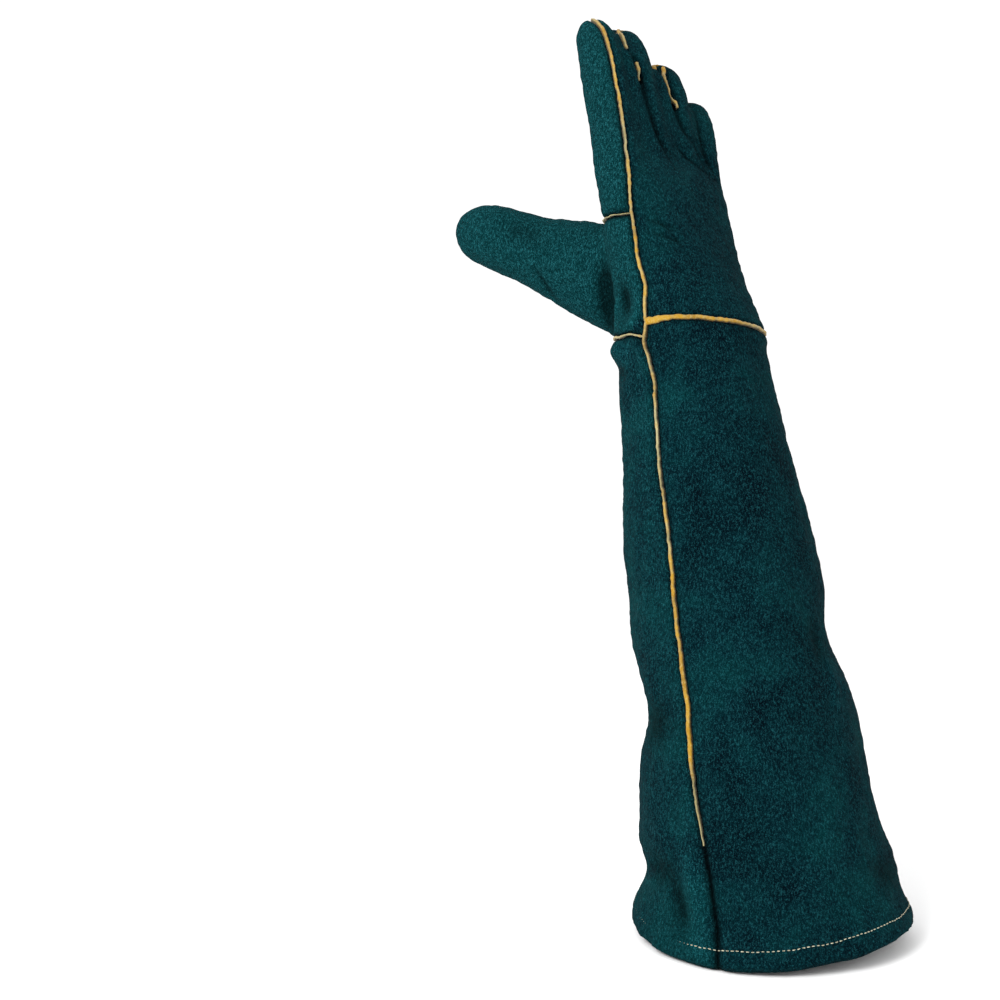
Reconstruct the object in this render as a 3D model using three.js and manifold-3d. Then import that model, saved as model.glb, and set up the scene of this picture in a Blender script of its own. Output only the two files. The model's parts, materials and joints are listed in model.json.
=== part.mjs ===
// A long-cuff leather glove for the right hand, sewn from six panels with welts in the seams.
// Millimetres. +Z runs from the arm opening up to the fingertips, +X to the thumb side and
// +Y to the back of the hand. The origin is the centre of the arm opening.

import * as THREE from 'three';
import { LoftGeometry } from 'three/addons/geometries/LoftGeometry.js';
import { mergeVertices } from 'three/addons/utils/BufferGeometryUtils.js';
import Module from 'manifold-3d';

const wasm = await Module();
wasm.setup();

// Cuff
const CUFF_LENGTH = 391;
const HEM_WIDTH = 183;
const HEM_DEPTH = 175;
const WRIST_WIDTH = 108;
const WRIST_DEPTH = 98;
const WRIST_SIDE_SHIFT = -4;
const WRIST_PALM_SHIFT = 62;
const HEM_TURN = 13;
const HEM_EDGE = 0.5;
const HEM_RISE = 6;
const HEM_TILT = 4;

// Hand
const PALM_LENGTH = 108;
const PALM_DEPTH = 50;
const HAND_TURN = THREE.MathUtils.degToRad(7);
const HAND_SIDE_SHIFT = -1;
const HAND_PALM_SHIFT = 24;
const BASE_SEAM_DROP = 7;
const KNUCKLE_CORNER = 0.75;
const WRIST_STEP = 8;
const WRIST_TILT = 4;

// Fingers
const INDEX_LENGTH = 110;
const INDEX_WIDTH = 28.5;
const MIDDLE_LENGTH = 105;
const MIDDLE_WIDTH = 28;
const RING_LENGTH = 85;
const RING_WIDTH = 27;
const LITTLE_LENGTH = 61;
const LITTLE_WIDTH = 24;
const FINGER_DEPTH = 37;
const FINGER_GAP = 2.4;

// Thumb
const THUMB_LENGTH = 169;
const THUMB_TIP_WIDTH = 38;
const THUMB_BASE_HEIGHT = 80;
const THUMB_RISE = THREE.MathUtils.degToRad(20);
const THUMB_SWING = THREE.MathUtils.degToRad(12);
const THUMB_ROOT_HEIGHT = 32;
const THUMB_ROOT_SIDE = 14;
const THUMB_ROOT_FRONT = 8;
const CROTCH_HEIGHT = 74;
const THUMB_FRONT = 38;
const THUMB_SEAM_BACK = 4;
const THUMB_SEAM_SLOPE = 0.1;
const FAR_SEAM = 0.12;

// Leather, welts and seams
const LEATHER = 2;
const WELT_WIDTH = 3;
const WELT_PROUD = 1;
const WELT_START = 72;
const WELT_THIN_END = 0.3;
const SEAM_GAP = 0.3;

const { lerp, clamp } = THREE.MathUtils;
const FULL = 2 * Math.PI;
const WRIST = CUFF_LENGTH;
const KNUCKLES = WRIST + PALM_LENGTH;
const FAR = HEM_WIDTH + HEM_DEPTH;
const SEAM_HALF = WELT_WIDTH / 2;
const CLEAR_HALF = SEAM_HALF + SEAM_GAP;
const HALF_COLUMNS = 14;
const LOW_ROWS = 4;
const HIGH_ROWS = 14;

// The cuff from hem (share 0) to wrist (share 1). flare is the share of the difference
// between wrist and hem size, bend the share of the wrist's sideways and palmward shift,
// and seam the thumb-side seam's place towards the back, as a share of half the depth.
const CUFF = [
  { share: 0.0, flare: 1.0, bend: 0.0, seam: 0.2 },
  { share: 0.08, flare: 0.84, bend: 0.07, seam: 0.19 },
  { share: 0.25, flare: 0.67, bend: 0.25, seam: 0.13 },
  { share: 0.5, flare: 0.42, bend: 0.5, seam: 0.1 },
  { share: 0.75, flare: 0.18, bend: 0.76, seam: 0.05 },
  { share: 1.0, flare: 0.0, bend: 1.0, seam: 0.08 },
];

// Dents (negative) and folds (positive) of the cuff. height is a share of the cuff's length,
// around an angle from the thumb side towards the back in degrees, tall a share of the
// cuff's length, wide in degrees and depth a share of the wrist's width.
const CUFF_FOLDS = [
  { height: 0.36, around: 300, tall: 0.06, wide: 32, depth: -0.09 },
  { height: 0.28, around: 310, tall: 0.16, wide: 40, depth: -0.03 },
  { height: 0.09, around: 135, tall: 0.07, wide: 40, depth: 0.04 },
  { height: 0.105, around: 300, tall: 0.03, wide: 32, depth: -0.07 },
  { height: 0.48, around: 130, tall: 0.06, wide: 32, depth: -0.08 },
  { height: 0.96, around: 300, tall: 0.02, wide: 30, depth: 0.03 },
];

// The hand from wrist (share 0) to knuckles (share 1), closed between the fingers' roots.
// wide and deep are shares of the difference between wrist and knuckle size, square the
// share of the squaring of its corners, turn the share of the hand's turn and seam the angle
// of the thumb-side seam.
const HAND = [
  { share: 0.0, wide: 0.0, deep: 0.0, square: 0.0, shift: 0.0, turn: 0.0, seam: 0.08 },
  { share: 0.3, wide: 0.3, deep: 0.45, square: 0.2, shift: 0.3, turn: 0.35, seam: 0.16 },
  { share: 0.65, wide: 0.8, deep: 0.9, square: 0.7, shift: 0.65, turn: 0.8, seam: 0.25 },
  { share: 1.0, wide: 1.0, deep: 1.15, square: 1.0, shift: 1.0, turn: 1.0, seam: 0.45 },
  { share: 1.13, wide: 0.8, deep: 1.6, square: 1.0, shift: 1.13, turn: 1.0, seam: 0.45 },
];

// Fingers from the thumb side. fan is the tip's sideways and curl its palmward travel, as
// shares of the finger's length, and seam the place of its thumb-side seam towards the back,
// as a share of half its depth.
const FINGERS = [
  { length: INDEX_LENGTH, width: INDEX_WIDTH, fan: -0.1, curl: 0.06, seam: 1.15 },
  { length: MIDDLE_LENGTH, width: MIDDLE_WIDTH, fan: -0.1, curl: 0.04, seam: 0.15 },
  { length: RING_LENGTH, width: RING_WIDTH, fan: -0.1, curl: 0.05, seam: 0.15 },
  { length: LITTLE_LENGTH, width: LITTLE_WIDTH, fan: -0.09, curl: 0.09, seam: 0.1 },
];

// One finger from below its root to its tip: shares of its length, width and depth.
const FINGER_SECTIONS = [
  { share: -0.3, width: 0.84, depth: 0.84 },
  { share: 0.0, width: 1.0, depth: 1.0 },
  { share: 0.35, width: 0.99, depth: 0.98 },
  { share: 0.68, width: 0.98, depth: 0.95 },
  { share: 0.85, width: 0.9, depth: 0.84 },
  { share: 0.94, width: 0.7, depth: 0.64 },
  { share: 0.985, width: 0.42, depth: 0.38 },
  { share: 1.0, width: 0.14, depth: 0.13 },
];

// The thumb from inside the hand to its tip: shares of its length and of its tip's width,
// and how far it reaches above and below its axis, as shares of its base's height.
const THUMB_SECTIONS = [
  { share: 0.0, width: 1.1, above: 0.42, below: 0.54 },
  { share: 0.15, width: 1.14, above: 0.4, below: 0.54 },
  { share: 0.3, width: 1.12, above: 0.37, below: 0.48 },
  { share: 0.45, width: 1.08, above: 0.33, below: 0.405 },
  { share: 0.58, width: 1.04, above: 0.285, below: 0.35 },
  { share: 0.7, width: 1.02, above: 0.28, below: 0.32 },
  { share: 0.82, width: 1.0, above: 0.28, below: 0.295 },
  { share: 0.91, width: 0.86, above: 0.24, below: 0.26 },
  { share: 0.965, width: 0.62, above: 0.17, below: 0.19 },
  { share: 0.992, width: 0.36, above: 0.1, below: 0.11 },
  { share: 1.0, width: 0.12, above: 0.035, below: 0.035 },
];

// A value at a share between the rows of a table, on a smooth curve through them
function along(table, column, share) {
  const last = table.length - 1;
  let i = 1;
  while (i < last && table[i].share < share) i++;
  const slope = (j) => {
    const a = table[Math.max(j - 1, 0)];
    const b = table[Math.min(j + 1, last)];
    return (b[column] - a[column]) / (b.share - a.share);
  };
  const a = table[i - 1];
  const b = table[i];
  const run = b.share - a.share;
  const t = clamp((share - a.share) / run, 0, 1);
  const start = (1 + 2 * t) * (1 - t) * (1 - t) * a[column] + t * (1 - t) * (1 - t) * run * slope(i - 1);
  const end = t * t * (3 - 2 * t) * b[column] + t * t * (t - 1) * run * slope(i);
  return start + end;
}

// A closed mesh becomes a solid that can be joined and cut
function solid(geometry) {
  const bare = new THREE.BufferGeometry();
  bare.setAttribute('position', geometry.getAttribute('position'));
  bare.setIndex(geometry.index);
  const merged = mergeVertices(bare, 1e-4);
  return new wasm.Manifold(new wasm.Mesh({
    numProp: 3,
    vertProperties: new Float32Array(merged.getAttribute('position').array),
    triVerts: new Uint32Array(merged.index.array),
  }));
}

const loft = (sections) => solid(new LoftGeometry(sections, { capStart: true, capEnd: true }));

// A count of values from one to another, both included
const evenly = (from, to, count) => {
  return Array.from({ length: count }, (_, i) => lerp(from, to, i / (count - 1)));
};

// The angles of a ring's corners
const round = (sides) => Array.from({ length: sides }, (_, i) => FULL * (i + 0.5) / sides);

// Centre line of arm and hand
function spine(z) {
  if (z <= WRIST) {
    const bend = along(CUFF, 'bend', z / CUFF_LENGTH);
    return { x: WRIST_SIDE_SHIFT * bend, y: -WRIST_PALM_SHIFT * bend, turn: 0 };
  }
  const share = (z - WRIST) / PALM_LENGTH;
  const shift = share > 1 ? share : along(HAND, 'shift', share);
  return {
    x: WRIST_SIDE_SHIFT + HAND_SIDE_SHIFT * shift,
    y: -WRIST_PALM_SHIFT - HAND_PALM_SHIFT * shift,
    turn: -HAND_TURN * along(HAND, 'turn', Math.min(share, 1)),
  };
}

// From the glove's own cross section, x to the thumb side and y to the back, to the model
function place(x, y, z) {
  const centre = spine(z);
  const cos = Math.cos(centre.turn);
  const sin = Math.sin(centre.turn);
  return new THREE.Vector3(centre.x + x * cos - y * sin, centre.y + x * sin + y * cos, z);
}

const FINGER_SPAN = FINGERS.reduce((sum, finger) => sum + finger.width, 0) + 3 * FINGER_GAP;
let edge = FINGER_SPAN / 2;
for (const finger of FINGERS) {
  finger.centre = edge - finger.width / 2;
  edge -= finger.width + FINGER_GAP;
}

// Half sizes of the outer skin's cross section
function halves(z) {
  if (z <= WRIST) {
    const flare = along(CUFF, 'flare', z / CUFF_LENGTH);
    const a = lerp(WRIST_WIDTH, HEM_WIDTH, flare) / 2;
    return { a, b: lerp(WRIST_DEPTH, HEM_DEPTH, flare) / 2, corner: 1 };
  }
  const share = (z - WRIST) / PALM_LENGTH;
  return {
    a: lerp(WRIST_WIDTH, FINGER_SPAN, along(HAND, 'wide', share)) / 2,
    b: lerp(WRIST_DEPTH, PALM_DEPTH, along(HAND, 'deep', share)) / 2,
    corner: lerp(1, KNUCKLE_CORNER, along(HAND, 'square', share)),
  };
}

function fold(angle, z) {
  let sum = 0;
  for (const row of CUFF_FOLDS) {
    const up = (z / CUFF_LENGTH - row.height) / row.tall;
    let turn = THREE.MathUtils.radToDeg(angle) - row.around;
    turn = ((turn + 540) % 360 - 180) / row.wide;
    sum += row.depth * WRIST_WIDTH * Math.exp(-up * up - turn * turn);
  }
  return sum;
}

// A point of the skin at an angle from the thumb side towards the back, offset outwards
function skin(angle, z, offset) {
  const half = halves(z);
  const out = fold(angle, z) + offset;
  const cos = Math.sign(Math.cos(angle)) * Math.abs(Math.cos(angle)) ** half.corner;
  const sin = Math.sign(Math.sin(angle)) * Math.abs(Math.sin(angle)) ** half.corner;
  return place((half.a + out) * cos, (half.b + out) * sin, z);
}

// Angle of the thumb-side seam
function seamAngle(z) {
  if (z <= WRIST) return along(CUFF, 'seam', z / CUFF_LENGTH);
  return along(HAND, 'seam', Math.min((z - WRIST) / PALM_LENGTH, 1));
}

// Height of the arm opening's edge
const hemShape = (angle) => HEM_RISE * Math.sin(angle) ** 2 + HEM_TILT * (1 - Math.cos(angle));

// Height of the wrist seam: level round the back, lower on the palm side of the thumb seam
function wristLine(angle) {
  const turn = ((angle % FULL) + FULL) % FULL;
  const level = WRIST + WRIST_TILT * Math.cos(turn);
  return turn <= Math.PI ? level : level - WRIST_STEP * (1 + Math.cos(turn)) / 2;
}

// A ring of angles, with its halves on either side of the thumb-side seam
const RING = [
  ...evenly(seamAngle(WRIST), Math.PI, HALF_COLUMNS).slice(0, -1),
  ...evenly(Math.PI, FULL + seamAngle(WRIST), HALF_COLUMNS).slice(0, -1),
];

// Everything above the wrist seam, raised by an offset
function wristSpace(offset) {
  const ring = (size, level) => RING.map((angle) => {
    const centre = place(0, 0, WRIST);
    return new THREE.Vector3(
      centre.x + size * Math.cos(angle),
      centre.y + size * Math.sin(angle),
      level(angle),
    );
  });
  const flat = () => WRIST - WRIST_STEP - WRIST_TILT + offset;
  const sheet = (angle) => wristLine(angle) + offset;
  const well = WRIST_DEPTH / 8;
  return loft([ring(LEATHER, flat), ring(well, sheet), ring(FAR, sheet), ring(FAR, () => WRIST + FAR)]);
}

// Height on the cuff once its edge at the arm opening has its shape
const cuffLevel = (angle, z) => z + hemShape(angle) * (1 - z / WRIST);
const CUFF_TOP = WRIST + WRIST_STEP;
const WELTED_ROWS = evenly(WELT_START + HEM_EDGE, CUFF_TOP, HIGH_ROWS);

// A half of the cuff, between the thumb-side seam and the seam of the little finger's side
function cuffPanel(side) {
  const low = evenly(HEM_TURN + HEM_EDGE, WELT_START, LOW_ROWS);
  const heights = [0, HEM_TURN, ...low, ...WELTED_ROWS];
  const sections = heights.map((z) => {
    const half = halves(z);
    const room = z <= WELT_START ? SEAM_GAP / 2 : CLEAR_HALF;
    const inner = z <= HEM_TURN ? -2 * LEATHER : -LEATHER;
    const from = seamAngle(z) + side * room / half.b;
    const to = side * (Math.PI - SEAM_GAP / 2 / half.b);
    const outside = [];
    const inside = [];
    for (const angle of evenly(from, to, HALF_COLUMNS - 1)) {
      outside.push(skin(angle, cuffLevel(angle, z), 0));
      inside.unshift(skin(angle, cuffLevel(angle, z), inner));
    }
    const loop = outside.concat(inside);
    return side > 0 ? loop : loop.reverse();
  });
  return loft(sections).subtract(wristSpace(-CLEAR_HALF));
}

// The welt in the thumb-side seam of the cuff, thinning out at its lower end
function cuffWelt() {
  const sections = WELTED_ROWS.map((z, i) => {
    const thin = i === 0 ? WELT_THIN_END : 1;
    const middle = seamAngle(z);
    const turn = SEAM_HALF * thin / halves(z).b;
    const at = (angle, offset) => skin(angle, cuffLevel(middle, z + HEM_EDGE * (1 - thin)), offset);
    return [
      at(middle - turn, -LEATHER),
      at(middle - turn, WELT_PROUD * thin / 2),
      at(middle, WELT_PROUD * thin),
      at(middle + turn, WELT_PROUD * thin / 2),
      at(middle + turn, -LEATHER),
    ];
  });
  return loft(sections).subtract(wristSpace(-CLEAR_HALF));
}

// Palm and back of the hand as one closed form, from below the wrist seam
function handForm(offset) {
  const rows = [0, 0.12, 0.28, 0.45, 0.62, 0.8, 0.92, 1, 1.07, 1.13];
  const bottom = WRIST - WRIST_STEP - WELT_WIDTH + Math.min(offset, 0);
  return loft(rows.map((share) => {
    const z = lerp(bottom, KNUCKLES + offset, share);
    return RING.map((angle) => skin(angle, z, offset));
  }));
}

// Centre of a finger at a share of its length, in the hand's own cross section
function fingerCentre(finger, share) {
  const way = Math.max(share, 0);
  return {
    x: finger.centre + finger.fan * finger.length * way,
    y: -finger.curl * finger.length * way * way,
  };
}

function fingerForm(finger, offset) {
  const sides = 13;
  const sections = FINGER_SECTIONS.map((row) => {
    const centre = fingerCentre(finger, row.share);
    const z = KNUCKLES + row.share * (finger.length + (row.share > 0 ? offset : 0));
    const grow = offset * Math.min(1, 2 * row.width);
    const a = finger.width * row.width / 2 + grow;
    const b = FINGER_DEPTH * (finger.width / INDEX_WIDTH) * row.depth / 2 + grow;
    return round(sides)
      .map((angle) => place(centre.x + a * Math.cos(angle), centre.y + b * Math.sin(angle), z));
  });
  return loft(sections);
}

// The thumb's axis, and the two directions across it
const THUMB_ROOT = place(THUMB_ROOT_SIDE, -THUMB_ROOT_FRONT, WRIST + THUMB_ROOT_HEIGHT);
const THUMB_AXIS = new THREE.Vector3(
  Math.sin(THUMB_SWING) * Math.cos(THUMB_RISE),
  -Math.cos(THUMB_SWING) * Math.cos(THUMB_RISE),
  Math.sin(THUMB_RISE),
);
const THUMB_SIDE = new THREE.Vector3(Math.cos(THUMB_SWING), Math.sin(THUMB_SWING), 0);
const THUMB_UP = new THREE.Vector3().crossVectors(THUMB_AXIS, THUMB_SIDE);

function thumbForm(offset) {
  const sides = 16;
  const length = THUMB_LENGTH + offset;
  const sections = THUMB_SECTIONS.map((row) => {
    const centre = THUMB_ROOT.clone().addScaledVector(THUMB_AXIS, row.share * length);
    const grow = offset * Math.min(1, 2 * row.width);
    const a = THUMB_TIP_WIDTH * row.width / 2 + grow;
    return round(sides).map((angle) => {
      const reach = THUMB_BASE_HEIGHT * (angle < Math.PI ? row.above : row.below) + grow;
      return centre.clone()
        .addScaledVector(THUMB_SIDE, a * Math.cos(angle))
        .addScaledVector(THUMB_UP, reach * Math.sin(angle));
    });
  });
  return loft(sections);
}

// The whole hand with its fingers, as a closed form offset outwards
function gloveForm(offset) {
  let form = handForm(offset).add(thumbForm(offset));
  for (const finger of FINGERS) form = form.add(fingerForm(finger, offset));
  return form;
}

// Everything behind the sheet of the seam round the finger outlines, between two offsets
function outlineSheet(low, high) {
  const rows = [-0.3, 0, 0.35, 0.7, 1, 1.25, 1.5, 1.75, 2.2];
  const sections = rows.map((share) => {
    const z = WRIST + share * PALM_LENGTH;
    const spread = clamp(share, 0, 1);
    const line = [];
    for (const finger of FINGERS) {
      const centre = fingerCentre(finger, (z - KNUCKLES) / finger.length);
      const rise = FINGER_DEPTH / 2 * spread;
      line.push({ x: centre.x + finger.width / 2, y: centre.y + finger.seam * rise });
      line.push({ x: centre.x - finger.width / 2, y: centre.y + FAR_SEAM * rise });
    }
    const start = halves(WRIST).b * Math.sin(seamAngle(WRIST)) * (1 - spread);
    line[0].y += start;
    line.unshift({ x: FAR, y: line[0].y });
    line.push({ x: -FAR, y: line[line.length - 1].y });
    line.reverse();
    const lower = line.map((point) => place(point.x, low === -FAR ? low : point.y + low, z));
    const upper = line.map((point) => place(point.x, high === FAR ? high : point.y + high, z));
    return lower.concat(upper.reverse());
  });
  return loft(sections);
}

// The space of the thumb panel: the thumb side of the hand up to the crotch and the outer
// half of the thumb, grown by an offset
const crotch = WRIST + CROTCH_HEIGHT;
const front = place(0, -THUMB_FRONT, crotch).y;
function thumbSpace(offset) {
  const tilt = (THUMB_AXIS.x + THUMB_AXIS.z * THUMB_SEAM_SLOPE) / -THUMB_AXIS.y;
  const block = (low, high, back) => loft([low, high].map((z) => {
    const edgeAt = (y) => THUMB_ROOT.x - THUMB_SEAM_BACK - offset
      - tilt * (y - THUMB_ROOT.y) - THUMB_SEAM_SLOPE * (z - THUMB_ROOT.z);
    return [
      new THREE.Vector3(edgeAt(-FAR), -FAR, z),
      new THREE.Vector3(FAR, -FAR, z),
      new THREE.Vector3(FAR, back, z),
      new THREE.Vector3(edgeAt(back), back, z),
    ];
  }));
  const lower = block(WRIST - 2 * WRIST_STEP - WRIST_TILT, crotch + offset, FAR);
  return lower.add(block(crotch - LEATHER, crotch + THUMB_BASE_HEIGHT / 2, front + offset));
}

// The space of the crotch seam between the thumb-side seam and the front of the thumb
function crotchSpace(room) {
  return loft([-2, 2].map((way) => {
    const z = crotch + way * WELT_WIDTH;
    return [
      new THREE.Vector3(0, front + room, z),
      new THREE.Vector3(FAR, front + room, z),
      new THREE.Vector3(FAR, FAR, z),
      new THREE.Vector3(0, FAR, z),
    ];
  }));
}

// The space of the middle and ring finger fronts above their base seam, between the gaps to
// the index and little fingers
function middleRingSpace(bottom, top, room) {
  const heights = top > KNUCKLES ? [bottom, KNUCKLES, top] : [bottom, top];
  const middle = FINGERS[1];
  const ring = FINGERS[2];
  return loft(heights.map((z) => {
    const up = Math.max(z - KNUCKLES, 0);
    const right = middle.centre + middle.fan * up + middle.width / 2 + FINGER_GAP / 2 - room;
    const left = ring.centre + ring.fan * up - ring.width / 2 - FINGER_GAP / 2 + room;
    return [[left, -1], [right, -1], [right, 1], [left, 1]]
      .map(([x, side]) => place(x, side * PALM_DEPTH, z));
  }));
}

const hollow = gloveForm(-LEATHER);
const shell = gloveForm(0).subtract(hollow);
const ridge = gloveForm(WELT_PROUD).subtract(hollow);
const hand = wristSpace(CLEAR_HALF);
const behind = outlineSheet(CLEAR_HALF, FAR);
const before = outlineSheet(-FAR, -CLEAR_HALF);
const wristRing = ridge.intersect(wristSpace(-SEAM_HALF)).subtract(wristSpace(SEAM_HALF));
const outlineWelt = ridge
  .subtract(outlineSheet(SEAM_HALF, FAR))
  .subtract(outlineSheet(-FAR, -SEAM_HALF))
  .intersect(wristSpace(-SEAM_HALF));
const handBack = shell.intersect(behind).intersect(hand);
const handFront = shell.intersect(before).intersect(hand);
const frontRidge = ridge.intersect(before).intersect(hand);

const aboveTips = KNUCKLES + 2 * MIDDLE_LENGTH;
const baseSeam = KNUCKLES - BASE_SEAM_DROP;
const thumbPanel = handFront.intersect(thumbSpace(-CLEAR_HALF));
const middleRingFront = handFront
  .intersect(middleRingSpace(baseSeam + CLEAR_HALF, aboveTips, SEAM_GAP / 2));
const palmPanel = handFront
  .subtract(thumbSpace(CLEAR_HALF))
  .subtract(middleRingSpace(baseSeam - CLEAR_HALF, aboveTips, -SEAM_GAP / 2));
const thumbEdge = frontRidge.intersect(thumbSpace(SEAM_HALF)).subtract(thumbSpace(-SEAM_HALF));
const thumbWelt = thumbEdge.subtract(crotchSpace(SEAM_HALF));
const crotchWelt = thumbEdge.intersect(crotchSpace(SEAM_HALF + SEAM_GAP));
const baseWelt = frontRidge
  .intersect(middleRingSpace(baseSeam - SEAM_HALF, baseSeam + SEAM_HALF, SEAM_GAP / 2));

// Each piece as a named mesh in its own leather
const glove = new THREE.Group();

function addPiece(name, form, color) {
  // Cuts at a low angle leave loose crumbs: the piece is the largest body
  const [body] = form.decompose().sort((a, b) => b.volume() - a.volume());
  const mesh = body.getMesh();
  const geometry = new THREE.BufferGeometry();
  geometry.setAttribute('position', new THREE.BufferAttribute(mesh.vertProperties, 3));
  geometry.setIndex(new THREE.BufferAttribute(mesh.triVerts, 1));
  geometry.computeVertexNormals();
  const leather = new THREE.MeshStandardMaterial({ color, roughness: 0.95, metalness: 0 });
  const piece = new THREE.Mesh(geometry, leather);
  piece.name = name;
  glove.add(piece);
}

const GREEN_SUEDE = 0x14404a;
const YELLOW_SPLIT = 0xd99a35;
addPiece('cuff_back_panel', cuffPanel(1), GREEN_SUEDE);
addPiece('cuff_palm_panel', cuffPanel(-1), GREEN_SUEDE);
addPiece('cuff_welt', cuffWelt(), YELLOW_SPLIT);
addPiece('wrist_back_welt', wristRing.intersect(behind), YELLOW_SPLIT);
addPiece('wrist_palm_welt', wristRing.intersect(before), YELLOW_SPLIT);
addPiece('hand_back_panel', handBack, GREEN_SUEDE);
addPiece('palm_panel', palmPanel, GREEN_SUEDE);
addPiece('thumb_panel', thumbPanel, GREEN_SUEDE);
addPiece('middle_ring_front_panel', middleRingFront, GREEN_SUEDE);
addPiece('hand_outline_welt', outlineWelt, YELLOW_SPLIT);
addPiece('thumb_welt', thumbWelt, YELLOW_SPLIT);
addPiece('crotch_welt', crotchWelt, YELLOW_SPLIT);
addPiece('finger_base_welt', baseWelt, YELLOW_SPLIT);

export default glove;
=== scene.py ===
import heapq
import json

import bpy
import numpy as np
from mathutils import Matrix, Vector
from mathutils.bvhtree import BVHTree
from mathutils.kdtree import KDTree

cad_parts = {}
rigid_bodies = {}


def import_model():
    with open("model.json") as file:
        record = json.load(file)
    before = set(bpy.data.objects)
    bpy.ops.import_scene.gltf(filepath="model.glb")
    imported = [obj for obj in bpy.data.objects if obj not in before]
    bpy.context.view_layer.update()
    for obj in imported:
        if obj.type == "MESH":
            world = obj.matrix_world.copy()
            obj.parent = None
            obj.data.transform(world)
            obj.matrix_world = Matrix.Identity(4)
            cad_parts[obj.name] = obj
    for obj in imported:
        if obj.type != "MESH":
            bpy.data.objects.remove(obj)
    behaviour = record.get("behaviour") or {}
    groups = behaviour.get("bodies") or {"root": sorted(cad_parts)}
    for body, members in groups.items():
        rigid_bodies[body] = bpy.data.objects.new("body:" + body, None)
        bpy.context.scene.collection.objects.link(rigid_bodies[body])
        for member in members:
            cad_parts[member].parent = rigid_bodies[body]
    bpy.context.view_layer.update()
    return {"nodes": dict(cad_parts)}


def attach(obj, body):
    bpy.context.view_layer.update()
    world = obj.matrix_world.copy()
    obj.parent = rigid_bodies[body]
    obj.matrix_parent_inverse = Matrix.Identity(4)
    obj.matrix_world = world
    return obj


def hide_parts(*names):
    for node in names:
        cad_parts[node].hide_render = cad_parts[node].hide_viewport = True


# Blender's start objects make way for the glove
for spare in list(bpy.data.objects):
    bpy.data.objects.remove(spare)
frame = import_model()
MM = 0.001

# Camera
# It stands level, a little under a metre from the cuff, on the thumb side of the back of the
# hand, so the thumb points left and the welted seam faces it.
IMAGE = 1000
FOCAL_PIXELS = 1350
SENSOR = 36
NEAR_CLIP = 0.01
VIEW_AZIMUTH = np.radians(132)
VIEW_ROLL = np.radians(0.5)
# how far off the middle of the arm opening is, in metres, and where it lies in the image
HEM_DISTANCE = 0.873
HEM_PIXEL = (772, 927)

level_right = np.array([np.cos(VIEW_AZIMUTH), np.sin(VIEW_AZIMUTH), 0])
view_line = np.array([-np.sin(VIEW_AZIMUTH), np.cos(VIEW_AZIMUTH), 0])
upright = np.array([0, 0, 1])
view_right = np.cos(VIEW_ROLL) * level_right - np.sin(VIEW_ROLL) * upright
view_up = np.sin(VIEW_ROLL) * level_right + np.cos(VIEW_ROLL) * upright
hem_right = (HEM_PIXEL[0] - IMAGE / 2) / FOCAL_PIXELS * HEM_DISTANCE
hem_down = (HEM_PIXEL[1] - IMAGE / 2) / FOCAL_PIXELS * HEM_DISTANCE
eye = hem_down * view_up - hem_right * view_right - HEM_DISTANCE * view_line

camera_data = bpy.data.cameras.new("camera")
camera_data.sensor_width = SENSOR
camera_data.lens = SENSOR * FOCAL_PIXELS / IMAGE
camera_data.clip_start = NEAR_CLIP
camera = bpy.data.objects.new("camera", camera_data)
axes = Matrix((view_right, view_up, -view_line)).transposed()
camera.matrix_world = Matrix.Translation(Vector(eye)) @ axes.to_4x4()
bpy.context.scene.collection.objects.link(camera)
bpy.context.scene.camera = camera


# Filled form of the glove
# The leather keeps the shape that a forearm and a hand give it: a cuff that widens to the arm
# opening, a flat palm, four closed fingers and a thumb that stands well off. It is made as
# closed forms that overlap and are joined into one. All lengths are in millimetres.
CUFF_LENGTH = 391
HEM_WIDTH = 183
HEM_DEPTH = 175
WRIST_WIDTH = 108
WRIST_DEPTH = 98
WRIST_SIDE_SHIFT = -4
WRIST_PALM_SHIFT = 62
HEM_RISE = 6
HEM_TILT = 4
PALM_LENGTH = 108
PALM_DEPTH = 50
KNUCKLE_CORNER = 0.75
HAND_TURN = np.radians(7)
HAND_SIDE_SHIFT = -1
HAND_PALM_SHIFT = 24
FINGER_DEPTH = 37
FINGER_GAP = 2.4
THUMB_LENGTH = 169
THUMB_TIP_WIDTH = 38
THUMB_BASE_HEIGHT = 80
THUMB_RISE = np.radians(20)
THUMB_SWING = np.radians(12)
THUMB_ROOT = (14, -8, 32)
KNUCKLES = CUFF_LENGTH + PALM_LENGTH
VOXEL = 1.6

# share of the cuff's length, flare towards the hem's size, bend towards the wrist's shift
CUFF = np.array([
    (0.0, 1.0, 0.0), (0.08, 0.84, 0.07), (0.25, 0.67, 0.25),
    (0.5, 0.42, 0.5), (0.75, 0.18, 0.76), (1.0, 0.0, 1.0),
])
# Dents and bulges of the cuff: height and reach as shares of its length, middle and reach
# around it in degrees, depth as a share of the wrist's width
CUFF_FOLDS = [
    (0.36, 0.06, 300, 32, -0.09), (0.28, 0.16, 310, 40, -0.03), (0.09, 0.07, 135, 40, 0.04),
    (0.105, 0.03, 300, 32, -0.07), (0.48, 0.06, 130, 32, -0.08), (0.96, 0.02, 300, 30, 0.03),
]
# share of the palm's length, how far wide, deep and square it is, shift and turn
HAND = np.array([
    (0.0, 0.0, 0.0, 0.0, 0.0, 0.0), (0.3, 0.3, 0.45, 0.2, 0.3, 0.35),
    (0.65, 0.8, 0.9, 0.7, 0.65, 0.8), (1.0, 1.0, 1.15, 1.0, 1.0, 1.0),
    (1.13, 0.8, 1.6, 1.0, 1.13, 1.0),
])
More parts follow.
